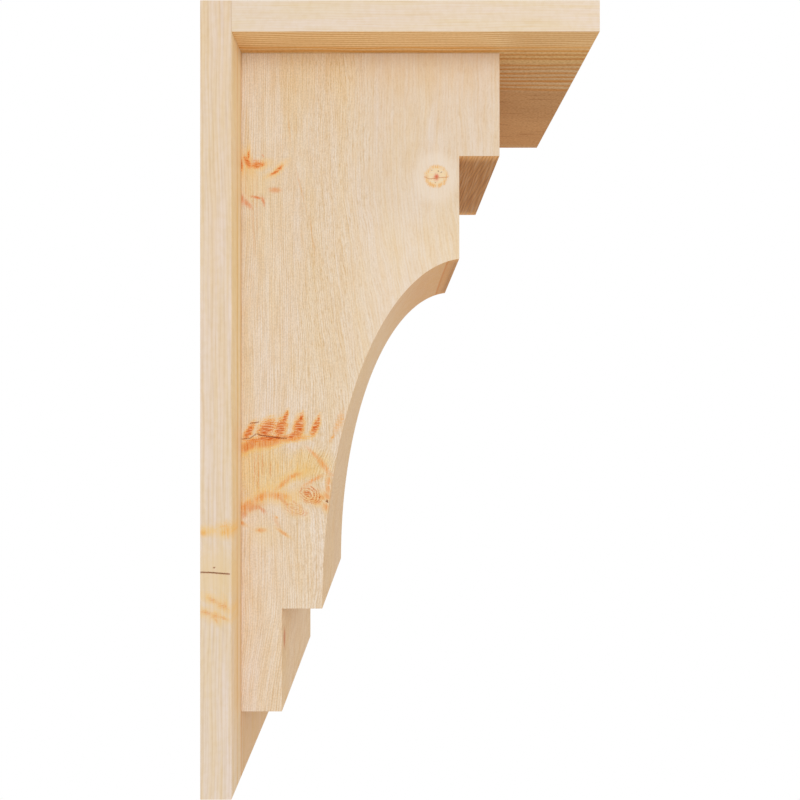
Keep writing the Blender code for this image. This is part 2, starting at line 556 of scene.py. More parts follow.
class Finish:
    """One piece's material, and the nodes that make it."""

    def __init__(self, name):
        self.material = bpy.data.materials.new(name)
        self.material.use_nodes = True
        self.tree = self.material.node_tree
        self.shader = self.tree.nodes["Principled BSDF"]
        coordinates = self.node("ShaderNodeTexCoord")
        self.place = self.vector("SCALE", coordinates.outputs["Object"], scale=1 / MM)
        self.across, along_y, self.up = self.parts(self.place)
        self.out = 0.0 - along_y
        geometry = self.node("ShaderNodeNewGeometry")
        self.facing_across, self.facing_wall, self.facing_up = self.parts(geometry.outputs["Normal"])

    def feed(self, socket, value):
        """Set a socket to a plain value, or link it to a varying one."""
        if isinstance(value, Value):
            self.tree.links.new(value.socket, socket)
        elif isinstance(value, bpy.types.NodeSocket):
            self.tree.links.new(value, socket)
        else:
            socket.default_value = value

    def node(self, kind, settings=None, sockets=None):
        """A node of this type, with its settings made first and then its sockets' values or links."""
        node = self.tree.nodes.new(kind)
        for name, value in (settings or {}).items():
            setattr(node, name, value)
        for name, value in (sockets or {}).items():
            self.feed(node.inputs[name], value)
        return node

    def maths(self, operation, *terms, clamp=False):
        """A Math node's result."""
        settings = {"operation": operation, "use_clamp": clamp}
        return Value(self, self.node("ShaderNodeMath", settings, dict(enumerate(terms))).outputs[0])

    def vector(self, operation, *terms, scale=None):
        """A Vector Math node's result: a vector, or a Value where the operation gives a number."""
        sockets = dict(enumerate(terms))
        if scale is not None:
            sockets["Scale"] = scale
        node = self.node("ShaderNodeVectorMath", {"operation": operation}, sockets)
        if operation in ("LENGTH", "DOT_PRODUCT", "DISTANCE"):
            return Value(self, node.outputs["Value"])
        return node.outputs["Vector"]

    def parts(self, vector):
        """A vector's three numbers."""
        node = self.node("ShaderNodeSeparateXYZ", sockets={0: vector})
        return [Value(self, socket) for socket in node.outputs]

    def point(self, x, y, z=0.0):
        """Three numbers as one vector."""
        return self.node("ShaderNodeCombineXYZ", sockets={0: x, 1: y, 2: z}).outputs[0]

    def chain(self, operation, values):
        """Several values put together by one operation, such as MINIMUM for the smallest."""
        return reduce(lambda one, other: self.maths(operation, one, other), values)

    def fade(self, value, none, full):
        """0 where the value is at none, 1 at full, and smooth between. None may be above full."""
        sockets = {"Value": value, "From Min": none, "From Max": full}
        node = self.node("ShaderNodeMapRange", {"interpolation_type": "SMOOTHSTEP"}, sockets)
        return Value(self, node.outputs["Result"])

    def noise(self, size, place=None, detail=2.0):
        """Soft noise about zero, most of it within 0.5, with lumps of this size along each axis."""
        spread = self.vector("DIVIDE", place or self.place, size)
        sockets = {"Vector": spread, "Scale": 1.0, "Detail": detail}
        return 2.0 * Value(self, self.node("ShaderNodeTexNoise", sockets=sockets).outputs[0]) - 1.0

    def stirred(self, place, size, amount):
        """This place, moved about by soft noise with lumps of this size."""
        spread = self.vector("DIVIDE", place, size)
        noise = self.node("ShaderNodeTexNoise", sockets={"Vector": spread, "Scale": 1.0, "Detail": 2.0})
        push = self.vector("SUBTRACT", noise.outputs["Color"], (0.5, 0.5, 0.5))
        return self.vector("ADD", place, self.vector("SCALE", push, scale=2 * amount))

    def mix(self, colour, other, mask, blend="MIX"):
        """This colour, and the other one as far as the mask goes."""
        settings = {"data_type": "RGBA", "blend_type": blend, "clamp_factor": True}
        node = self.node("ShaderNodeMix", settings, {0: mask, 6: colour, 7: other})
        return node.outputs[2]

    def tint(self, colour, tone, mask):
        """This colour multiplied by another, as far as the mask goes."""
        return self.mix(colour, tone, mask, "MULTIPLY")

    def layer(self, colour, tone, value, strength=None):
        """This colour with a Tone over it, as far as the value is past the tone's none."""
        mask = self.fade(value, tone.none, tone.full)
        if strength is not None:
            mask = mask * strength
        return self.tint(colour, tone.colour, mask)


def oval(finish, place, start, end, width):
    """The square of how far a place is from the middle of an oval between these tips: 1 at its edge."""
    run = Vector((*end, 0.0)) - Vector((*start, 0.0))
    middle = Vector((*start, 0.0)) + run / 2
    aside = Vector((-run.y, run.x, 0.0)) / run.length
    reach = finish.vector("SUBTRACT", place, middle)
    along = finish.vector("DOT_PRODUCT", reach, run * 2 / run.length_squared)
    sideways = finish.vector("DOT_PRODUCT", reach, aside * 2 / width)
    return finish.maths("MULTIPLY_ADD", sideways, sideways, along * along)


def nearest(finish, place, marks):
    """How far a place is from the middle of the nearest of several ovals: 1 at its edge."""
    nearest_square = finish.chain("MINIMUM", (oval(finish, place, *mark) for mark in marks))
    return finish.maths("SQRT", nearest_square)


def line(finish, place, start, end):
    """How far a place is from a line between two points."""
    origin = Vector((*start, 0.0))
    run = Vector((*end, 0.0)) - origin
    reach = finish.vector("SUBTRACT", place, origin)
    travel = finish.vector("DOT_PRODUCT", reach, run)
    share = finish.maths("MULTIPLY", travel, 1 / run.length_squared, clamp=True)
    return finish.vector("DISTANCE", reach, finish.vector("SCALE", run, scale=share))


def early_and_late(finish, ring):
    """0 in a ring's pale early wood, rising slowly to 1 in its late wood, which ends sharply.

    ring counts rings.
    """
    phase = finish.maths("FRACT", ring)
    return finish.fade(phase, LATE_BEGINS, LATE_FULL) * finish.fade(phase, 1, LATE_ENDS)


def surface(finish, colour, late, fibre):
    """Planed and unvarnished: dull, with late wood and fibres standing a trace proud."""
    relief = late * LATE_RELIEF + fibre
    bump = finish.node(
        "ShaderNodeBump",
        sockets={"Strength": BUMP_STRENGTH, "Distance": BUMP_DEPTH, "Height": relief},
    )
    roughness = ROUGHNESS - late * LATE_SMOOTHER - fibre * FIBRE_SMOOTHER
    finish.feed(finish.shader.inputs["Base Color"], colour)
    finish.feed(finish.shader.inputs["Roughness"], roughness)
    finish.feed(finish.shader.inputs["Normal"], bump.outputs["Normal"])
    finish.shader.inputs["Specular IOR Level"].default_value = GLOSS


def at_face(finish, face, depth):
    """1 at a near side, fading to 0 this deep in the wood. face is the side's place across."""
    return finish.fade(finish.across, face + depth, face + FULL_TO * depth)


class KnotWood:
    """What knots share on one near side: ragged places, fine lines, and how deep they go."""

    def __init__(self, finish, face, depth):
        self.finish = finish
        self.flat = finish.point(finish.out, finish.up)
        self.depth = at_face(finish, face, depth)
        self.stirred = finish.stirred(self.flat, RAGGED_LUMPS, RAGGED_BY)
        self.grit = finish.noise(GRIT_LUMPS, self.flat, detail=1) * GRIT
        self.hatch = finish.fade(finish.noise(HATCH_LUMPS, self.flat), *HATCH)
        self.threads = finish.fade(finish.noise(THREAD_LUMPS, self.flat), *THREADS)

    def nearest(self, marks):
        """How far a place is from the middle of the nearest of these ovals, a little ragged."""
        return nearest(self.finish, self.stirred, marks)

    def within(self, share, edge, core):
        """0 where the share is at edge or more, 1 at core or less, as deep as the knot goes."""
        return self.finish.fade(share, edge, core) * self.depth

    def lay(self, colour, other, share, strength, edge, core):
        """Mix in another colour where the share is less than edge, in full from core on."""
        return self.finish.mix(colour, other, self.within(share, edge, core) * strength)

    def stain(self, colour, marks, other, strength, core=0.5, edge=1.15):
        """Mix in another colour over these ovals, grainy between edge and core."""
        return self.lay(colour, other, self.nearest(marks) + self.grit, strength, edge, core)


def flames_and_split(wood, colour):
    """The upper half of the big knot: its flames, and the band below them where it has split."""
    finish = wood.finish
    flames = wood.nearest(FLAMES)
    band = wood.nearest(UNDER_SPLIT)
    glow = finish.maths("MINIMUM", flames, band * 0.9) + wood.grit * 0.6
    colour = wood.lay(colour, AMBER, glow, 0.3 + wood.hatch * 0.55, edge=1.7, core=0.9)
    band = wood.within(band + wood.grit, 1.2, 0.4)
    colour = finish.mix(colour, ORANGE, band * (0.4 + wood.threads * 0.5))
    deep = finish.fade(finish.out, *DEEP_BAND) * finish.fade(wood.grit, -0.2, 0.15)
    colour = finish.mix(colour, RUST, band * deep * (0.3 + wood.threads * 0.6))
    flames = flames + wood.grit * 1.5
    colour = wood.lay(colour, ORANGE, flames, 0.4 + wood.hatch * 0.55, edge=1.2, core=0.65)
    colour = wood.lay(colour, RUST, flames, wood.hatch * 0.9, edge=0.95, core=0.35)
    pale = 0.2 + wood.hatch * 0.7
    return wood.stain(colour, PALE_FLAMES, PALE_FLAME_COLOUR, pale, core=0, edge=1.5)


def fringe_below(wood, colour):
    """The ragged fringe that closes the big knot's honey wood, and the stains around it."""
    finish = wood.finish
    fringe = wood.nearest(FRINGE)
    colour = wood.lay(colour, AMBER, fringe, 0.45 + wood.threads * 0.4, edge=3.6, core=0.6)
    fringe = wood.within(fringe + wood.grit * 1.4, 1.5, 0.2)
    colour = finish.mix(colour, ORANGE, fringe * (0.25 + wood.threads * 0.6))
    colour = finish.mix(colour, RUST, fringe * finish.fade(wood.grit, 0, 0.25) * 0.6)
    lower = 0.35 + wood.threads * 0.6
    colour = wood.stain(colour, LOWER_FRINGE, LOWER_FRINGE_COLOUR, lower, core=0, edge=1.5)
    colour = wood.stain(colour, SLANTS, ORANGE, 0.4 + wood.threads * 0.5, core=0, edge=1.6)
    colour = wood.stain(colour, LOW_HONEY, HONEY, 0.34, core=0, edge=1.2)
    dapples = wood.nearest(DAPPLES) + wood.grit
    colour = wood.lay(colour, DAPPLE_HALO, dapples, 0.55, edge=2.4, core=0.8)
    colour = wood.lay(colour, DAPPLE_COLOUR, dapples, 0.3 + wood.threads * 0.5, edge=1.4, core=0.3)
    colour = wood.stain(colour, BODY_LINES, BODY_LINE_COLOUR, 0.75, core=0.2, edge=1.3)
    colour = wood.stain(colour, CHIP, CHIP_COLOUR, 1, core=0.4, edge=1.4)
    return wood.stain(colour, BLUSHES, BLUSH_COLOUR, 0.7, core=0)


def eye_knots(wood, colour):
    """Two small knots at the big one's lower edge, each a set of thin arcs."""
    finish = wood.finish
    eye = nearest(finish, finish.stirred(wood.flat, EYE_LUMPS, EYE_STIR), EYE_KNOTS)
    skew = finish.out * 0.5 - finish.up * 0.6
    arcs = finish.maths("SINE", eye * EYE_ARCS + skew + wood.grit * 6)
    arcs = finish.fade(arcs, -0.3, 0.7) * finish.fade(eye, 1.3, 0.9)
    colour = wood.lay(colour, AMBER, eye, 0.3 + wood.threads * 0.35, edge=2, core=0.4)
    strong = 0.4 + finish.fade(finish.out, *STRONG_EYE) * 0.6
    return finish.mix(colour, ARC_COLOUR, arcs * (0.35 + wood.hatch * 0.65) * strong * wood.depth)


def spike_knot(wood, colour):
    """The block's big knot, cut lengthwise: flames above a split, honey wood, and a ragged fringe."""
    finish = wood.finish
    body = wood.within(wood.nearest(KNOT_BODY) + wood.grit, 1.1, 0.5)
    colour = finish.tint(colour, KNOT_BODY_TONE, body)
    colour = finish.tint(colour, KNOT_THREAD_TONE, body * wood.threads * 0.8)
    colour = flames_and_split(wood, colour)
    colour = fringe_below(wood, colour)
    return eye_knots(wood, colour)


def small_spike_knot(wood, colour):
    """The block's small knot near its back edge: a ragged row of flames, and a fainter lower edge."""
    colour = wood.stain(colour, SMALL_BODY, HONEY, 0.35, core=0.3, edge=1)
    threads = 0.35 + wood.threads * 0.4
    colour = wood.stain(colour, SMALL_THREADS, SMALL_THREAD_COLOUR, threads, core=0, edge=1.3)
    flames = wood.nearest(SMALL_FLAMES)
    colour = wood.lay(colour, AMBER, flames, 0.4 + wood.threads * 0.35, edge=3.4, core=0.9)
    flames = flames + wood.grit
    colour = wood.lay(colour, ORANGE, flames, 0.5 + wood.hatch * 0.4, edge=1.4, core=0.6)
    colour = wood.lay(colour, RUST, flames, wood.hatch * 0.85, edge=0.9, core=0.3)
    freckles = 0.3 + wood.hatch * 0.5
    colour = wood.stain(colour, SMALL_FRECKLES, SMALL_FRECKLE_COLOUR, freckles, core=-0.1, edge=0.6)
    lower = 0.5 + wood.threads * 0.5
    colour = wood.stain(colour, SMALL_LOWER, SMALL_LOWER_COLOUR, lower, core=0, edge=1.7)
    return wood.stain(colour, SMALL_BLUSH, SMALL_BLUSH_COLOUR, 0.75, core=0.2, edge=1.6)


def round_knot(wood, colour):
    """A small sound knot cut across: a thin orange rim, pale mottled wood inside, and a red heart."""
    finish = wood.finish
    colour = wood.lay(colour, ROUND_HALO_COLOUR, wood.nearest(ROUND_KNOT_HALO), 0.5, edge=1.2, core=0.7)
    share = nearest(finish, finish.stirred(wood.flat, ROUND_LUMPS, ROUND_STIR), ROUND_KNOT)
    inside = share + wood.grit * 0.3
    mottled = 0.35 + wood.hatch * 0.45
    colour = wood.lay(colour, ROUND_INSIDE_COLOUR, inside, mottled, edge=1.05, core=0.85)
    rim = abs(share - RIM_AT + wood.grit * 0.4)
    colour = wood.lay(colour, RIM_COLOUR, rim, 0.2 + wood.threads * 0.65, edge=0.26, core=0.04)
    colour = wood.stain(colour, KNOT_HEART, HEART_HALO_COLOUR, 0.6, core=0.2, edge=1.7)
    colour = wood.stain(colour, KNOT_HEART, HEART_COLOUR, 0.8, core=0)
    return wood.stain(colour, KNOT_SPECKS, SPECK_COLOUR, 0.7, core=0.2)


def split(wood, colour, points, face, width, lips=PITCH):
    """Darken a check's walls, partly stain and partly painted shade, and the wood along its lips."""
    finish = wood.finish
    runs = zip(points, points[1:])
    gap = finish.chain("MINIMUM", (line(finish, wood.flat, start, end) for start, end in runs))
    near = at_face(finish, face, SPLIT_DEPTH)
    beside = finish.fade(gap + wood.grit, 2.6 * width, 0.3 * width)
    colour = finish.mix(colour, lips, beside * near * 0.7)
    # Painted shade, partly stain, on the walls below the face
    below_face = finish.fade(finish.across, face + 0.02, face + 0.2)
    walls = finish.fade(gap, 1.6 * width, 1.2 * width) * below_face
    return finish.mix(colour, CHECK_WALL_STAIN_AND_SHADE, walls * near)


def block_grain(finish):
    """Where the block's grain would lie out from the wall if it had grown straight.

    Its long sway comes with it, and how loose the grain is: 0 at the back, 1 towards the front.
    """
    lean_out = finish.fade(finish.up, *LEAN_UP) * finish.fade(finish.out, *LEAN_OUT) * LEAN
    lean_in = finish.maths("MAXIMUM", TOE_LEAN_BELOW - finish.up, 0) * TOE_LEAN
    sway = finish.noise(BLOCK_SWAY_LUMPS) * BLOCK_SWAY
    loose = finish.fade(finish.out, *LOOSE_GRAIN)
    wander = finish.noise(BLOCK_WANDER_LUMPS) * (1.2 + loose * 1.6)
    ripple = finish.noise(BLOCK_RIPPLE_LUMPS, detail=1) * (0.2 + loose * 0.6)
    from_knot = abs(finish.up + KNOT_BELOW_MIDDLE)
    drawn_in = finish.fade(from_knot, DRAWN_IN_REACH, 0) * finish.fade(finish.out, *DRAWN_IN_OUT)
    ring_out = finish.out + lean_out + lean_in + drawn_in * DRAWN_IN + sway + wander + ripple
    return ring_out, sway, loose


def block_side(finish, flow, ring, late, fibre, loose, front):
    """The block's planed wood without its knots, with painted shade towards its top and beneath the
    shelf. flow is a place along the grain.
    """
    dashes = finish.noise(BLOCK_DASH_LUMPS, flow, detail=1)
    bands = finish.noise(RING_BAND_LUMPS, finish.point(ring, 0), detail=1)
    blotch = finish.noise(BLOCK_BLOTCH_LUMPS, flow)
    streaks = finish.noise(BLOCK_STREAK_LUMPS, flow, detail=1)
    mottle = finish.noise(BLOCK_MOTTLE_LUMPS)
    lively = 0.4 + finish.fade(finish.out + mottle * 30, *LIVELY_GRAIN) * 0.6
    shown = late * finish.fade(bands, -0.7, 0.3) * lively * (1 - front * 0.4)
    pores = finish.noise(BLOCK_PORE_LUMPS, detail=0)
    colour = finish.mix(BLOCK_PALE, BLOCK_CREAM, finish.fade(blotch, *BLOTCH))
    colour = finish.layer(colour, BLOCK_STREAK, streaks)
    colour = finish.tint(colour, BLOCK_LATE, shown)
    colour = finish.layer(colour, BLOCK_FIBRE, fibre, lively)
    colour = finish.layer(colour, BLOCK_DASH, dashes, lively * (0.3 + loose * 0.7))
    colour = finish.layer(colour, BLOCK_PORE, pores, lively)
    colour = finish.layer(colour, BLOCK_MOTTLE, mottle)
    # Painted shade, darker and warmer with height
    colour = finish.layer(colour, BLOCK_UPPER_PAINTED_SHADE, finish.up)
    # Painted shade beneath the shelf
    colour = finish.layer(colour, BLOCK_SHADE_BELOW_SHELF, finish.up)
    high_back = finish.fade(finish.out, *BACK_OUT) * finish.fade(finish.up, *BACK_UP)
    colour = finish.tint(colour, BLOCK_HIGH_BACK, high_back)
    high_front = finish.fade(finish.out, *HEAD_OUT) * finish.fade(finish.up, *HEAD_UP)
    return finish.tint(colour, BLOCK_HIGH_FRONT, high_front)


def block_marks(wood, colour, face):
    """The block's knots and the darkened edges of its checks."""
    colour = spike_knot(wood, colour)
    colour = small_spike_knot(wood, colour)
    colour = round_knot(wood, colour)
    colour = split(wood, colour, BLOCK_CHECK, face, 0.35)
    colour = split(wood, colour, LOWER_CHECK, face, 0.25)
    colour = split(wood, colour, SPIKE_CHECK, face, 0.3)
    return split(wood, colour, KNOT_CHECK, face, 0.25, ROUND_KNOT_LIPS)


def block_front_and_underside(wood, colour, front, sway):
    """Painted shade on the block's fronts and undersides, darker and warmer, with the toe's knot and
    the cove's ring.
    """
    finish = wood.finish
    # Painted shade: faces that turn to the front are tinted darker and warmer
    colour = finish.tint(colour, BLOCK_FRONT_SHADE, front)
    toe_knot = oval(finish, finish.point(finish.across, finish.up), *TOE_KNOT) + wood.grit
    toe_knot = finish.fade(toe_knot, 2.2, 0) * front * finish.fade(finish.out, *TOE_FRONT)
    colour = finish.mix(colour, TOE_KNOT_COLOUR, toe_knot * 0.85)
    # Painted shade: faces that turn down are tinted darker and warmer
    down = finish.fade(finish.facing_up, *BLOCK_FACING_DOWN)
    colour = finish.tint(colour, BLOCK_UNDERSIDE_SHADE, down)
    past_ring = finish.out + sway * 0.2 - COVE_RING
    colour = finish.layer(colour, PAST_COVE_RING, past_ring, down)
    on_ring = finish.fade(abs(past_ring), 1.3, 0.3) * down
    return finish.mix(colour, COVE_RING_COLOUR, on_ring * 0.8)


def block_end_grain(finish, late):
    """End grain under the block's head and foot and on its toe, with fine rays, and painted shade that
    darkens its middle.
    """
    # Painted shade: darker in the middle, away from the sides, and a little more under the head
    core = finish.fade(abs(finish.across), *END_SHADE_ACROSS)
    under_head = 0.8 + finish.fade(finish.out, *UNDER_HEAD) * 0.2
    colour = finish.tint(END_GRAIN, END_PAINTED_SHADE, core * under_head)
    colour = finish.tint(colour, END_LATE, late)
    rays = finish.noise(BLOCK_RAY_LUMPS, detail=1)
    colour = finish.mix(colour, END_RAY, finish.fade(rays, 0, 0.4) * 0.4)
    return finish.layer(colour, END_BETWEEN_RAYS, rays)


def block_softwood():
    """Grain upright, its rings nearly flat: straight near the wall, looser and fainter to the front."""
    finish = Finish("block_softwood")
    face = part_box("corbel_block")[0].x / MM
    ring_out, sway, loose = block_grain(finish)
    from_pith = finish.point(finish.across - PITH_ACROSS, PITH_OUT - ring_out)
    radius = finish.vector("LENGTH", from_pith) - (PITH_OUT - RINGS_COUNTED_FROM)
    ring = radius * RINGS_PER_MM + radius * radius * RINGS_CLOSING
    late = early_and_late(finish, ring)
    flow = finish.point(finish.across, ring_out, finish.up)
    fibre = finish.noise(BLOCK_FIBRE_LUMPS, flow)
    front = finish.fade(finish.facing_wall, *BLOCK_FACING_FRONT)
    colour = block_side(finish, flow, ring, late, fibre, loose, front)
    wood = KnotWood(finish, face, BLOCK_KNOT_DEPTH)
    colour = block_marks(wood, colour, face)
    colour = block_front_and_underside(wood, colour, front, sway)
    end = finish.fade(abs(finish.facing_up), *BLOCK_END)
    colour = finish.mix(colour, block_end_grain(finish, late), end)
    surface(finish, colour, late, fibre)
    return finish.material


def board_knot(finish, colour, face):
    """Stained bands where a knot runs out through the wall board's near edge."""
    wood = KnotWood(finish, face, BOARD_KNOT_DEPTH)
    colour = wood.stain(colour, BOARD_TAN, BOARD_TAN_COLOUR, 0.55, core=0.2, edge=1.1)
    colour = wood.stain(colour, BOARD_STAINS, AMBER, 0.5 + wood.threads * 0.25, core=0.2, edge=1.3)
    hearts = 0.35 + wood.threads * 0.55
    colour = wood.stain(colour, BOARD_HEARTS, BOARD_HEART_COLOUR, hearts, core=-0.4, edge=1.6)
    colour = wood.stain(colour, BOARD_STREAKS, AMBER, 0.45 + wood.threads * 0.3, core=0.2, edge=3)
    streaks = 0.25 + wood.hatch * 0.6
    colour = wood.stain(colour, BOARD_STREAKS, BOARD_STREAK_COLOUR, streaks, core=-0.5, edge=1.2)
    colour = wood.stain(colour, BOARD_SPECK, BOARD_SPECK_COLOUR, 0.9, core=0.2)
    return split(wood, colour, BOARD_CHECK, face, 0.4, BOARD_LIPS)


def board_front(finish, colour, sway):
    """The wall board's front: painted shade, darker and warmer, with a paler strip of painted light and
    its lines at the near edge.
    """
    # Painted shade on faces turned to the front, and painted light on the strip by the near edge, paler
    # higher up
    front = finish.fade(finish.facing_wall, *BOARD_FACING)
    strip = finish.fade(finish.across, *FRONT_STRIP)
    bright = finish.mix(STRIP_LIGHT_LOW, STRIP_LIGHT_HIGH, finish.fade(finish.up, *STRIP_UP))
    colour = finish.tint(colour, finish.mix(BOARD_FRONT_SHADE, bright, strip), front)
    swayed = finish.across + sway * 0.1
    lines = finish.chain("MINIMUM", (abs(swayed - place) for place in FRONT_LINES))
    colour = finish.layer(colour, FRONT_LINE, lines, front)
    joint = abs(finish.across - FRONT_LINES[-1])
    return finish.layer(colour, FRONT_JOINT, joint, front)


def wall_board_softwood():
    """Grain upright, rings round a pith behind the board and beyond its middle."""
    finish = Finish("wall_board_softwood")
    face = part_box("wall_board")[0].x / MM
    sway = finish.noise(BOARD_SWAY_LUMPS) * BOARD_SWAY
    wander = finish.noise(BOARD_WANDER_LUMPS) * BOARD_WANDER
    from_pith = finish.point(finish.across - BOARD_PITH_ACROSS, BOARD_PITH_BEHIND + finish.out)
    ring = (finish.vector("LENGTH", from_pith) + sway + wander) / BOARD_RING
    late = early_and_late(finish, ring)
    bands = finish.noise(RING_BAND_LUMPS, finish.point(ring, 0), detail=1)
    flow = finish.point(finish.across, finish.out + sway, finish.up)
    fibre = finish.noise(BOARD_FIBRE_LUMPS, flow)
    blotch = finish.noise(BOARD_BLOTCH_LUMPS, flow)
    streaks = finish.noise(BOARD_STREAK_LUMPS, flow, detail=1)
    colour = finish.mix(BOARD_PALE, BOARD_CREAM, finish.fade(blotch, *BLOTCH))
    colour = finish.layer(colour, BOARD_STREAK, streaks)
    colour = finish.tint(colour, BOARD_LATE, late * finish.fade(bands, -0.6, 0.4))
    colour = finish.layer(colour, BOARD_FIBRE, fibre)
    # Painted shade, darker and warmer with height
    colour = finish.layer(colour, BOARD_UPPER_PAINTED_SHADE, finish.up)
    mottle = finish.noise(BOARD_MOTTLE_LUMPS)
    colour = finish.layer(colour, BOARD_MOTTLE, mottle)
    colour = board_knot(finish, colour, face)
    colour = board_front(finish, colour, sway)
    end = finish.fade(abs(finish.facing_up), *BOARD_END)
    colour = finish.mix(colour, finish.tint(BOARD_END_GRAIN, BOARD_END_LATE, late), end)
    surface(finish, colour, late, fibre)
    return finish.material


def shelf_underside(finish, radius, fine, strong, streaks, blotch):
    """Under the shelf board: strong orange rings to the near side, and plain brown wood beyond, its
    browns partly painted shade, with painted light along the near edge.
    """
    grit = finish.noise(SHELF_GRIT_LUMPS, detail=1)
    edge = finish.fade(finish.across, *SHELF_EDGE)
    nose = finish.fade(finish.out, *SHELF_NOSE)
    inner = finish.fade(radius, *SHELF_PLAIN)
    colour = finish.mix(SHELF_GREY, SHELF_GOLD, finish.fade(radius, *SHELF_GOLDEN))
    # Painted light along the near edge, toned down at the nose
    colour = finish.mix(colour, SHELF_EDGE_PAINTED_LIGHT, edge)
    colour = finish.tint(colour, SHELF_NOSE_TONE, edge * nose)
    plain = finish.mix(PLAIN_NEAR, PLAIN_FAR, finish.fade(finish.across, *PLAIN_ACROSS))
    colour = finish.mix(colour, plain, inner)
    # Painted light: the rings are paler along the near edge too
    ring_colour = finish.mix(SHELF_RING_COLOUR, EDGE_RING_PAINTED_LIGHT, edge)
    colour = finish.mix(colour, ring_colour, strong * (1 + streaks * 0.7))
    colour = finish.mix(colour, FINE_RING_COLOUR, fine * 0.9)
    flecks = finish.noise(SHELF_FLECK_LUMPS, detail=1)
    colour = finish.layer(colour, SHELF_FLECK, flecks, inner)
    colour = finish.layer(colour, SHELF_BLOTCH, blotch)
    return finish.layer(colour, SHELF_GRIT, grit, 1 - edge * 0.6)


def shelf_softwood():
    """Grain running out from the wall, rings round a pith below the board and past its middle."""
    finish = Finish("shelf_softwood")
    sway = finish.noise(SHELF_SWAY_LUMPS) * SHELF_SWAY
    wander = finish.noise(SHELF_WANDER_LUMPS) * SHELF_WANDER
    from_pith = finish.point(finish.across - SHELF_PITH_ACROSS, finish.up - SHELF_PITH_UP)
    radius = finish.vector("LENGTH", from_pith) + sway + wander
    fine = early_and_late(finish, radius / SHELF_RING) * finish.fade(radius, *SHELF_FINE)
    strong = finish.chain(
        "MAXIMUM",
        (finish.fade(abs(radius - ring), 1, 0.2) for ring in SHELF_RINGS),
    )
    fibre = finish.noise(SHELF_FIBRE_LUMPS)
    streaks = finish.noise(SHELF_STREAK_LUMPS, detail=1)
    blotch = finish.noise(SHELF_BLOTCH_LUMPS)
    late = finish.maths("MAXIMUM", fine * 0.5, strong)
    colour = finish.mix(SHELF_PALE, SHELF_CREAM, finish.fade(blotch, *BLOTCH))
    colour = finish.tint(colour, SHELF_LATE, late)
    colour = finish.layer(colour, SHELF_STREAK, streaks)
    mottle = finish.noise(SHELF_MOTTLE_LUMPS)
    colour = finish.layer(colour, BOARD_MOTTLE, mottle)
    under = shelf_underside(finish, radius, fine, strong, streaks, blotch)
    # Painted shade: faces that turn down take the deeper underside colours
    colour = finish.mix(colour, under, finish.fade(finish.facing_up, *BOARD_FACING))
    colour = finish.layer(colour, SHELF_FIBRE, fibre)
    end = finish.fade(abs(finish.facing_wall), *BOARD_END)
    colour = finish.tint(colour, SHELF_END, end)
    surface(finish, colour, late, fibre)
    return finish.material


def mesh_piece(name, solid, material):
    """A new piece from this working mesh, in the scene."""
    mesh = bpy.data.meshes.new(name)
    solid.to_mesh(mesh)
    solid.free()
    mesh.materials.append(material)
    piece = bpy.data.objects.new(name, mesh)
    bpy.context.scene.collection.objects.link(piece)
    return piece


def groove_cutter(points, face, width, depth):
    """A wedge that opens a check along these (out, up) points of a near side, widest in the middle.

    face is the near side's place across. The wedge's back stands proud of it, so that the cut is clean.
    """
    solid = bmesh.new()
    flare = 1 + CUTTER_PROUD / depth
    rows = []
    last = len(points) - 1
    for index, (out, up) in enumerate(points):
        swell = math.sin(math.pi * (index + CHECK_END) / (last + 2 * CHECK_END)) ** 0.5
        half = width / 2 * swell * flare
        bottom = depth * swell
        section = ((-CUTTER_PROUD, half), (-CUTTER_PROUD, -half), (bottom, 0.0))
        places = [Vector((face / MM + x, -out, up + z)) * MM for x, z in section]
        rows.append([solid.verts.new(place) for place in places])
    for row, following in zip(rows, rows[1:]):
        for side in range(3):
            turn = (side + 1) % 3
            solid.faces.new((row[side], row[turn], following[turn], following[side]))
    solid.faces.new(rows[0][::-1])
    solid.faces.new(rows[-1])
    bmesh.ops.recalc_face_normals(solid, faces=solid.faces)
    mesh = bpy.data.meshes.new("check")
    solid.to_mesh(mesh)
    solid.free()
    return bpy.data.objects.new("check", mesh)


def open_check(piece, points, face, size):
    """Cut one check into the piece."""
    cutter = groove_cutter(points, face, *size)
    bpy.context.scene.collection.objects.link(cutter)
    cut = piece.modifiers.new("check", "BOOLEAN")
    cut.operation = "DIFFERENCE"
    cut.object = cutter
    bpy.context.view_layer.update()
    evaluated = piece.evaluated_get(bpy.context.evaluated_depsgraph_get())
    mesh = bpy.data.meshes.new_from_object(evaluated)
    piece.modifiers.remove(cut)
    piece.data = mesh
    bpy.data.objects.remove(cutter)


def even_shading(piece):
    """Flat faces that look flat, eased corners that look round."""
    piece.data.shade_smooth()
    piece.data.set_sharp_from_angle(angle=SMOOTH_ANGLE)
    weights = piece.modifiers.new("even_shading", "WEIGHTED_NORMAL")
    weights.keep_sharp = True


def fixed(piece, node):
    """Say what this piece rides on, and hide the solid it stands for."""
    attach(piece, "root")
    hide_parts(node)


def ease(solid, edges):
    """Round these edges a little, as sandpaper leaves them."""
    rounding = {"offset": ARRIS, "segments": ARRIS_SEGMENTS, "profile": ROUND}
    bmesh.ops.bevel(solid, geom=edges, affect="EDGES", **rounding)


def board(name, low, high, kept, material):
    """A board between two corners, its edges eased except those that kept says lie in a joint."""
    solid = bmesh.new()
    bmesh.ops.create_cube(solid, size=1.0)
    middle = (low + high) / 2
    for vertex in solid.verts:
        vertex.co = middle + vertex.co * (high - low)
    eased = [edge for edge in solid.edges if not all(kept(vertex.co) for vertex in edge.verts)]
    ease(solid, eased)
    return mesh_piece(name, solid, material)


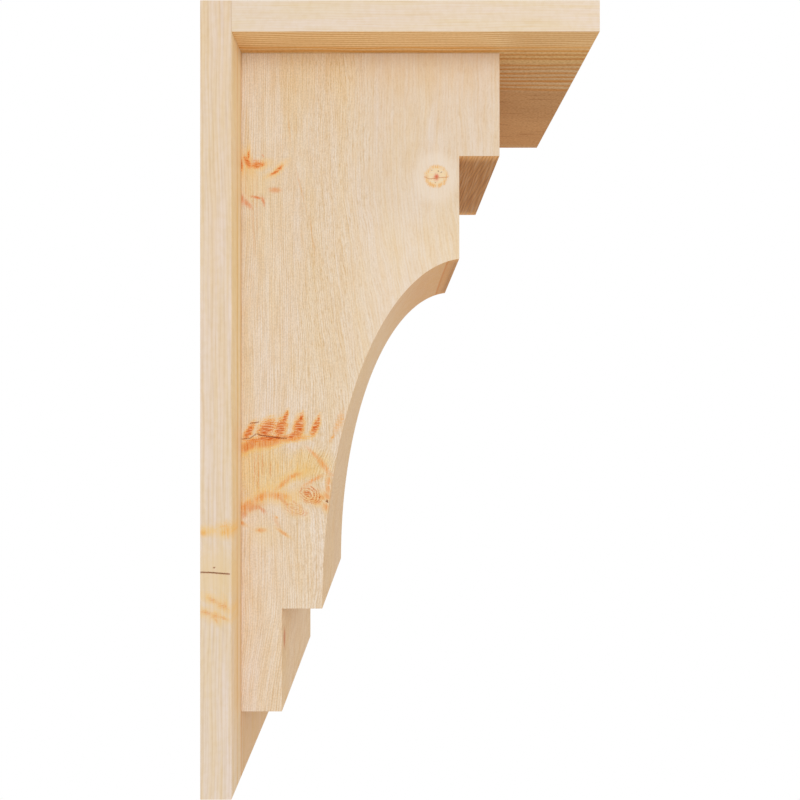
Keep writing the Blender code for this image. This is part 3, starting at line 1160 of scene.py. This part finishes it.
def wall_board():
    """The board on the wall, its whole rim eased, with one wide check in its near edge."""
    low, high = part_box("wall_board")
    piece = board("wall_board_planed", low, high, lambda place: False, wall_board_softwood())
    open_check(piece, BOARD_CHECK, low.x, WIDE_CHECK)
    even_shading(piece)
    fixed(piece, "wall_board")


def shelf_board():
    """The board on top, brought up to the wall board's face with a hairline joint."""
    low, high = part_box("shelf_board")
    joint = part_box("wall_board")[0].y - HAIRLINE
    high.y = joint
    in_joint = lambda place: place.y > joint - WELD
    piece = board("shelf_board_planed", low, high, in_joint, shelf_softwood())
    even_shading(piece)
    fixed(piece, "shelf_board")


def block_outline(depth, height):
    """The block's side view as (out, up) from its top back corner."""
    out_step = depth * STEP_SHARE
    up_step = height * STEP_SHARE
    neck = depth - out_step
    foot = 2 * out_step
    neck_sole = -2 * up_step
    foot_sole = up_step - height
    across = neck + COVE_LEFT_AT_NECK - foot
    level_share = COVE_LEFT_AT_NECK / across
    rise = (neck_sole - foot_sole) / math.sqrt(1 - level_share**2)
    start = math.acos(level_share)
    cove = []
    for step in range(COVE_SEGMENTS + 1):
        turn = start * (1 - step / COVE_SEGMENTS)
        cove.append((foot + across * (1 - math.cos(turn)), foot_sole + rise * math.sin(turn)))
    head = [(0.0, 0.0), (depth, 0.0), (depth, -up_step), (neck, -up_step)]
    toe = [(out_step, foot_sole), (out_step, -height), (0.0, -height)]
    return head + cove + toe


def corbel_block():
    """The shaped block, brought up to both boards with hairline joints, with its four checks."""
    low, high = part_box("corbel_block")
    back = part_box("wall_board")[0].y - HAIRLINE
    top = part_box("shelf_board")[0].z - HAIRLINE
    outline = block_outline(high.y - low.y, high.z - low.z)
    solid = bmesh.new()
    rim = []
    for out, up in outline:
        place = Vector((low.x, high.y - out, high.z + up))
        if out == 0.0:
            place.y = back
        if up == 0.0:
            place.z = top
        rim.append(solid.verts.new(place))
    side = solid.faces.new(rim)
    swept = bmesh.ops.extrude_face_region(solid, geom=[side])
    for item in swept["geom"]:
        if isinstance(item, bmesh.types.BMVert):
            item.co.x = high.x
    bmesh.ops.recalc_face_normals(solid, faces=solid.faces)
    eased = []
    for edge in solid.edges:
        in_joint = all(vertex.co.y > back - WELD for vertex in edge.verts)
        if edge.calc_face_angle() > CORNER_ANGLE and not in_joint:
            eased.append(edge)
    ease(solid, eased)
    piece = mesh_piece("corbel_block_sawn", solid, block_softwood())
    open_check(piece, BLOCK_CHECK, low.x, FINE_CHECK)
    open_check(piece, SPIKE_CHECK, low.x, HAIR_CHECK)
    open_check(piece, LOWER_CHECK, low.x, HAIR_CHECK)
    open_check(piece, KNOT_CHECK, low.x, TRACE_CHECK)
    even_shading(piece)
    fixed(piece, "corbel_block")


def camera():
    """Level, square to the near side, at the photo's distance."""
    settings = bpy.data.cameras.new("camera")
    settings.lens = FOCAL_LENGTH
    settings.sensor_width = FILM_WIDTH
    settings.clip_start = NEAR_CLIP
    viewer = bpy.data.objects.new("camera", settings)
    viewer.location = (CAD_BOX[0][0] - CAMERA_TO_BOARDS, -CAMERA_OUT, 0.0)
    viewer.rotation_euler = (math.pi / 2, 0.0, -math.pi / 2)
    bpy.context.scene.collection.objects.link(viewer)
    bpy.context.scene.camera = viewer


def lamp():
    """One large soft lamp."""
    towards = Vector((
        math.sin(LAMP_TURN) * math.cos(LAMP_LIFT),
        -math.cos(LAMP_TURN) * math.cos(LAMP_LIFT),
        math.sin(LAMP_LIFT),
    ))
    light = bpy.data.lights.new("lamp", "AREA")
    light.size = LAMP_SIZE
    light.energy = LAMP_POWER
    holder = bpy.data.objects.new("lamp", light)
    holder.location = LAMP_TARGET + towards * LAMP_DISTANCE
    holder.rotation_mode = "QUATERNION"
    holder.rotation_quaternion = (-towards).to_track_quat("-Z", "Y")
    bpy.context.scene.collection.objects.link(holder)


def room():
    """White light from all round, not quite even in height. The camera sees it as pure white."""
    world = bpy.data.worlds.new("room")
    bpy.context.scene.world = world
    world.use_nodes = True
    tree = world.node_tree
    background = tree.nodes["Background"]
    background.inputs["Color"].default_value = WHITE
    direction = tree.nodes.new("ShaderNodeTexCoord")
    height = tree.nodes.new("ShaderNodeSeparateXYZ")
    tree.links.new(direction.outputs["Generated"], height.inputs[0])
    strength = tree.nodes.new("ShaderNodeMapRange")
    strength.inputs["From Min"].default_value = -ROOM_EDGE
    strength.inputs["From Max"].default_value = ROOM_EDGE
    strength.inputs["To Min"].default_value = ROOM_DOWN
    strength.inputs["To Max"].default_value = ROOM_UP
    tree.links.new(height.outputs["Z"], strength.inputs["Value"])
    path = tree.nodes.new("ShaderNodeLightPath")
    chosen = tree.nodes.new("ShaderNodeMix")
    chosen.inputs["B"].default_value = BACKDROP
    tree.links.new(path.outputs["Is Camera Ray"], chosen.inputs["Factor"])
    tree.links.new(strength.outputs["Result"], chosen.inputs["A"])
    tree.links.new(chosen.outputs["Result"], background.inputs["Strength"])


def floor():
    """A pale round floor well below the bracket, outside the photo's view."""
    solid = bmesh.new()
    bmesh.ops.create_circle(solid, cap_ends=True, radius=FLOOR_RADIUS, segments=FLOOR_SIDES)
    for vertex in solid.verts:
        vertex.co += Vector((0.0, -CAMERA_OUT, FLOOR_LEVEL))
    finish = Finish("pale_floor")
    mottle = finish.noise(FLOOR_LUMPS)
    colour = finish.mix(FLOOR_PALE, FLOOR_GREY, 0.5 + mottle)
    finish.feed(finish.shader.inputs["Base Color"], colour)
    finish.shader.inputs["Roughness"].default_value = FLOOR_ROUGHNESS
    mesh_piece("floor", solid, finish.material)


bpy.context.scene.view_settings.view_transform = "Standard"
camera()
lamp()
room()
floor()
wall_board()
shelf_board()
corbel_block()
